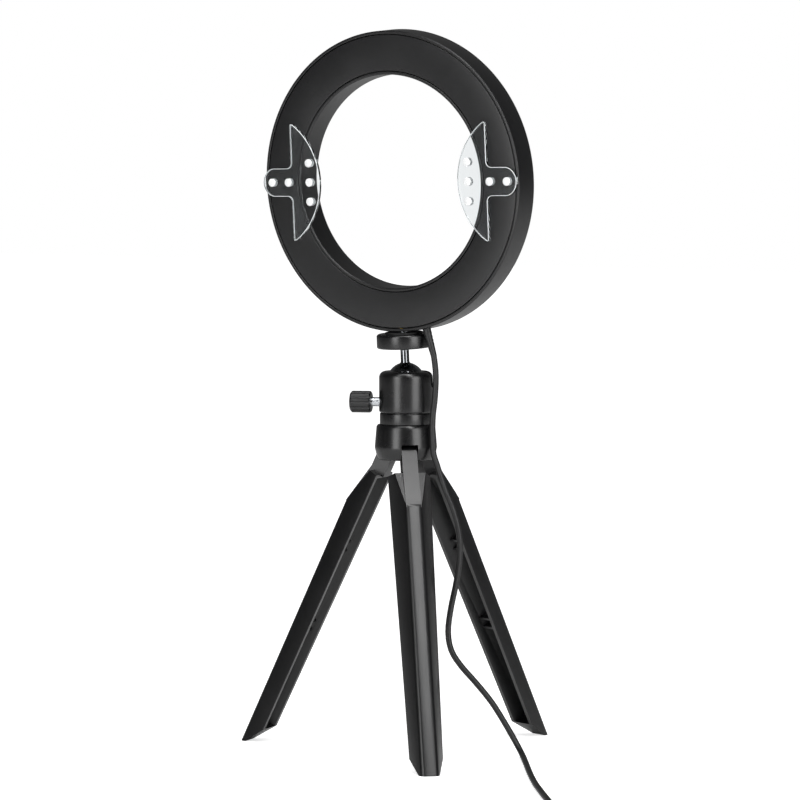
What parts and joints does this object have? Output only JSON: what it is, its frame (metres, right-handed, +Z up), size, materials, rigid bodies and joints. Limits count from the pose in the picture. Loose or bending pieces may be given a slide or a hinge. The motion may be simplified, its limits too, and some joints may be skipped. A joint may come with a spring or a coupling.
{
  "type": "ring light",
  "caption": "Desk ring light: a black ring lamp with clear accessory brackets, on a ball head and a folding tripod, with a USB lead and a hand-held control.",
  "frame": {"origin": "on the tripod's axis, on the surface that the three feet stand on", "axes": "+Z up; the lamp shines towards -Y at rest, its back faces +Y; +X along the ring's width"},
  "size_m": [0.332, 0.343, 0.3843],
  "materials": {
    "satin_abs": "satin black moulded ABS",
    "satin_abs_back": "fine satin black ABS plate",
    "opal": "opal diffusing acrylic",
    "board_white": "white solder mask",
    "led": "phosphor-filled LED packages",
    "zinc_steel": "zinc-plated steel",
    "brass": "turned brass",
    "clear_acrylic": "clear polished acrylic",
    "frosted_acrylic": "milky clear polycarbonate",
    "cord_pvc": "matt black PVC",
    "black_chrome": "black-chromed steel",
    "gloss_abs": "semi-gloss black moulded ABS",
    "rubber": "matt black rubber",
    "acetal": "natural acetal",
    "knob_abs": "satin black ABS",
    "leg_nylon": "satin black glass-filled nylon",
    "remote_abs": "fine-textured black ABS",
    "board_green": "green solder mask",
    "button_red": "red silicone key",
    "button_grey": "pale grey silicone key"
  },
  "bodies": {
    "stand": {"hub": "gloss_abs", "leg_pins": "zinc_steel", "head_base": "gloss_abs", "base_screw": "zinc_steel", "socket_housing": "gloss_abs", "ball_seat": "acetal", "power_cord": "cord_pvc", "cord_coil": "cord_pvc", "coil_tie": "rubber", "remote_base": "remote_abs", "remote_cover": "remote_abs", "remote_board": "board_green", "remote_relief_in": "cord_pvc", "remote_relief_out": "cord_pvc", "plug_lead": "cord_pvc", "usb_relief": "cord_pvc", "usb_overmould": "remote_abs", "usb_shell": "zinc_steel", "usb_tongue": "acetal"},
    "leg_front": {"leg_front": "leg_nylon"},
    "leg_left": {"leg_left": "leg_nylon"},
    "leg_right": {"leg_right": "leg_nylon"},
    "ball_head": {"ball_stem": "black_chrome", "platform": "gloss_abs", "platform_pad": "rubber", "mount_screw": "zinc_steel"},
    "ring": {"ring_housing": "satin_abs", "rear_plate": "satin_abs_back", "diffuser": "opal", "led_board": "board_white", "leds": "led", "board_screws": "zinc_steel", "tripod_insert": "brass", "bracket_left": "clear_acrylic", "bracket_right": "clear_acrylic", "bracket_left_studs": "frosted_acrylic", "bracket_right_studs": "frosted_acrylic", "cord_relief": "cord_pvc"},
    "lock_knob": {"lock_knob": "knob_abs", "knob_stud": "zinc_steel"},
    "power_button": {"power_button": "button_red"},
    "brighter_button": {"brighter_button": "button_grey"},
    "dimmer_button": {"dimmer_button": "button_grey"}
  },
  "joints": [
    {"name": "leg_front_fold", "type": "hinge", "parent": "stand", "child": "leg_front", "pos_m": [-0.00649, 0.0076, 0.1595], "axis": [-0.7604, -0.6494, 0], "range_deg": [0, 24]},
    {"name": "leg_left_fold", "type": "hinge", "parent": "stand", "child": "leg_left", "pos_m": [0.00983, 0.00182, 0.1595], "axis": [-0.1822, 0.9833, 0], "range_deg": [0, 24]},
    {"name": "leg_right_fold", "type": "hinge", "parent": "stand", "child": "leg_right", "pos_m": [-0.00334, -0.00943, 0.1595], "axis": [0.9426, -0.3338, 0], "range_deg": [0, 24]},
    {"name": "ball_tilt", "type": "hinge", "parent": "stand", "child": "ball_head", "pos_m": [0, 0, 0.1974], "axis": [1, 0, 0], "range_deg": [-32, 38], "deforming": ["power_cord"]},
    {"name": "ring_turn", "type": "hinge", "parent": "ball_head", "child": "ring", "pos_m": [0, 0, 0.1974], "axis": [0.0139, 0.0506, 0.9986], "range_deg": [-45, 45], "deforming": ["cord_relief"]},
    {"name": "lock_knob_turn", "type": "hinge", "parent": "stand", "child": "lock_knob", "pos_m": [0, 0, 0.1863], "axis": [0.9205, 0.3907, 0], "range_deg": [-180, 180]},
    {"name": "power_button_press", "type": "slide", "parent": "stand", "child": "power_button", "axis": [0, 0, -1], "range_m": [0, 0.0005], "stiffness_N_per_m": 600},
    {"name": "brighter_button_press", "type": "slide", "parent": "stand", "child": "brighter_button", "axis": [0, 0, -1], "range_m": [0, 0.0005], "stiffness_N_per_m": 600},
    {"name": "dimmer_button_press", "type": "slide", "parent": "stand", "child": "dimmer_button", "axis": [0, 0, -1], "range_m": [0, 0.0005], "stiffness_N_per_m": 600}
  ]
}
